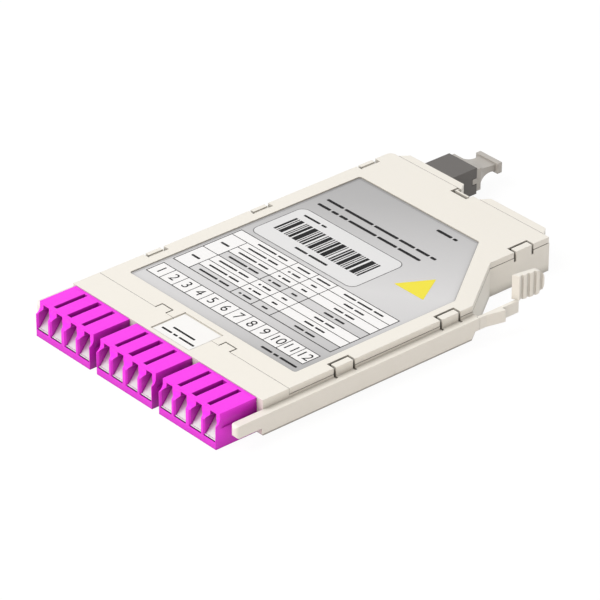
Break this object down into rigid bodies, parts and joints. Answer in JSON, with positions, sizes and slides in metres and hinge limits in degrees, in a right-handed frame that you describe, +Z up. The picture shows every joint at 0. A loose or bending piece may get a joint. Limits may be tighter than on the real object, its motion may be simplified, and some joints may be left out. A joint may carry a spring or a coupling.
{
  "type": "fibre cassette",
  "caption": "Flat snap-together fibre cassette that breaks a multi-fibre connector at the rear out to shuttered duplex ports at the front, with side rails and a release lever.",
  "frame": {"origin": "centre of the housing's flat underside, rails, adapters, lever and dust cap left out", "axes": "+X across the width, to the side with the release lever; +Y to the rear, towards the multi-fibre adapter; +Z up, to the labelled cover"},
  "size_m": [0.0925, 0.1643, 0.0167],
  "materials": {
    "housing_plastic": "fine matt moulded, warm ivory white",
    "adapter_plastic": "satin moulded, heather violet magenta",
    "dark_plastic": "matt dark warm grey",
    "cap_plastic": "soft matt light warm grey",
    "label_film": "printed silver-grey film with a soft sheen",
    "seal_film": "blank white film",
    "shutter_steel": "polished spring steel",
    "zirconia": "polished white zirconia",
    "ferrule_resin": "black glass-filled resin",
    "plug_plastic": "satin light beige",
    "boot_rubber": "soft white",
    "fibre_jacket": "aqua jacket"
  },
  "bodies": {
    "housing": {"base_tray": "housing_plastic", "top_cover": "housing_plastic", "cover_label": "label_film", "seal_sticker": "seal_film", "lc_adapter_1": "adapter_plastic", "lc_adapter_2": "adapter_plastic", "lc_adapter_3": "adapter_plastic", "sleeves_1": "zirconia", "sleeves_2": "zirconia", "sleeves_3": "zirconia", "inner_plugs_1": "plug_plastic", "inner_plugs_2": "plug_plastic", "inner_plugs_3": "plug_plastic", "ferrules_1": "zirconia", "ferrules_2": "zirconia", "ferrules_3": "zirconia", "plug_boots_1": "boot_rubber", "plug_boots_2": "boot_rubber", "plug_boots_3": "boot_rubber", "fibres_1": "fibre_jacket", "fibres_2": "fibre_jacket", "fibres_3": "fibre_jacket", "fanout_block": "dark_plastic", "trunk_tube": "fibre_jacket", "mpo_boot": "boot_rubber", "mpo_plug": "plug_plastic", "mpo_ferrule": "ferrule_resin", "mpo_adapter": "dark_plastic"},
    "release_lever": {"release_lever": "housing_plastic"},
    "dust_cap": {"mpo_dust_cap": "cap_plastic"},
    "shutter_1": {"shutter_1": "shutter_steel"},
    "shutter_2": {"shutter_2": "shutter_steel"},
    "shutter_3": {"shutter_3": "shutter_steel"},
    "shutter_4": {"shutter_4": "shutter_steel"},
    "shutter_5": {"shutter_5": "shutter_steel"},
    "shutter_6": {"shutter_6": "shutter_steel"},
    "shutter_7": {"shutter_7": "shutter_steel"},
    "shutter_8": {"shutter_8": "shutter_steel"},
    "shutter_9": {"shutter_9": "shutter_steel"},
    "shutter_10": {"shutter_10": "shutter_steel"},
    "shutter_11": {"shutter_11": "shutter_steel"},
    "shutter_12": {"shutter_12": "shutter_steel"}
  },
  "joints": [
    {"name": "lever_squeeze", "type": "hinge", "parent": "housing", "child": "release_lever", "pos_m": [0.04496, 0.01635, 0.0067], "axis": [0, 0, 1], "range_deg": [0, 8], "stiffness_Nm_per_rad": 0.08, "springref_deg": -1.15},
    {"name": "dust_cap_pull", "type": "slide", "parent": "housing", "child": "dust_cap", "axis": [0, 1, 0], "range_m": [0, 0.009]},
    {"name": "shutter_1_hinge", "type": "hinge", "parent": "housing", "child": "shutter_1", "pos_m": [-0.03861, -0.07783, 0.00251], "axis": [-1, 0, 0], "range_deg": [0, 51], "stiffness_Nm_per_rad": 0.0002, "springref_deg": -17.19},
    {"name": "shutter_2_hinge", "type": "hinge", "parent": "housing", "child": "shutter_2", "pos_m": [-0.03236, -0.07783, 0.00251], "axis": [-1, 0, 0], "range_deg": [0, 51], "stiffness_Nm_per_rad": 0.0002, "springref_deg": -17.19},
    {"name": "shutter_3_hinge", "type": "hinge", "parent": "housing", "child": "shutter_3", "pos_m": [-0.02565, -0.07783, 0.00251], "axis": [-1, 0, 0], "range_deg": [0, 51], "stiffness_Nm_per_rad": 0.0002, "springref_deg": -17.19},
    {"name": "shutter_4_hinge", "type": "hinge", "parent": "housing", "child": "shutter_4", "pos_m": [-0.01939, -0.07783, 0.00251], "axis": [-1, 0, 0], "range_deg": [0, 51], "stiffness_Nm_per_rad": 0.0002, "springref_deg": -17.19},
    {"name": "shutter_5_hinge", "type": "hinge", "parent": "housing", "child": "shutter_5", "pos_m": [-0.01035, -0.07783, 0.00251], "axis": [-1, 0, 0], "range_deg": [0, 51], "stiffness_Nm_per_rad": 0.0002, "springref_deg": -17.19},
    {"name": "shutter_6_hinge", "type": "hinge", "parent": "housing", "child": "shutter_6", "pos_m": [-0.00409, -0.07783, 0.00251], "axis": [-1, 0, 0], "range_deg": [0, 51], "stiffness_Nm_per_rad": 0.0002, "springref_deg": -17.19},
    {"name": "shutter_7_hinge", "type": "hinge", "parent": "housing", "child": "shutter_7", "pos_m": [0.00262, -0.07783, 0.00251], "axis": [-1, 0, 0], "range_deg": [0, 51], "stiffness_Nm_per_rad": 0.0002, "springref_deg": -17.19},
    {"name": "shutter_8_hinge", "type": "hinge", "parent": "housing", "child": "shutter_8", "pos_m": [0.00886, -0.07783, 0.00251], "axis": [-1, 0, 0], "range_deg": [0, 51], "stiffness_Nm_per_rad": 0.0002, "springref_deg": -17.19},
    {"name": "shutter_9_hinge", "type": "hinge", "parent": "housing", "child": "shutter_9", "pos_m": [0.01792, -0.07783, 0.00251], "axis": [-1, 0, 0], "range_deg": [0, 51], "stiffness_Nm_per_rad": 0.0002, "springref_deg": -17.19},
    {"name": "shutter_10_hinge", "type": "hinge", "parent": "housing", "child": "shutter_10", "pos_m": [0.02416, -0.07783, 0.00251], "axis": [-1, 0, 0], "range_deg": [0, 51], "stiffness_Nm_per_rad": 0.0002, "springref_deg": -17.19},
    {"name": "shutter_11_hinge", "type": "hinge", "parent": "housing", "child": "shutter_11", "pos_m": [0.03087, -0.07783, 0.00251], "axis": [-1, 0, 0], "range_deg": [0, 51], "stiffness_Nm_per_rad": 0.0002, "springref_deg": -17.19},
    {"name": "shutter_12_hinge", "type": "hinge", "parent": "housing", "child": "shutter_12", "pos_m": [0.03712, -0.07783, 0.00251], "axis": [-1, 0, 0], "range_deg": [0, 51], "stiffness_Nm_per_rad": 0.0002, "springref_deg": -17.19}
  ]
}
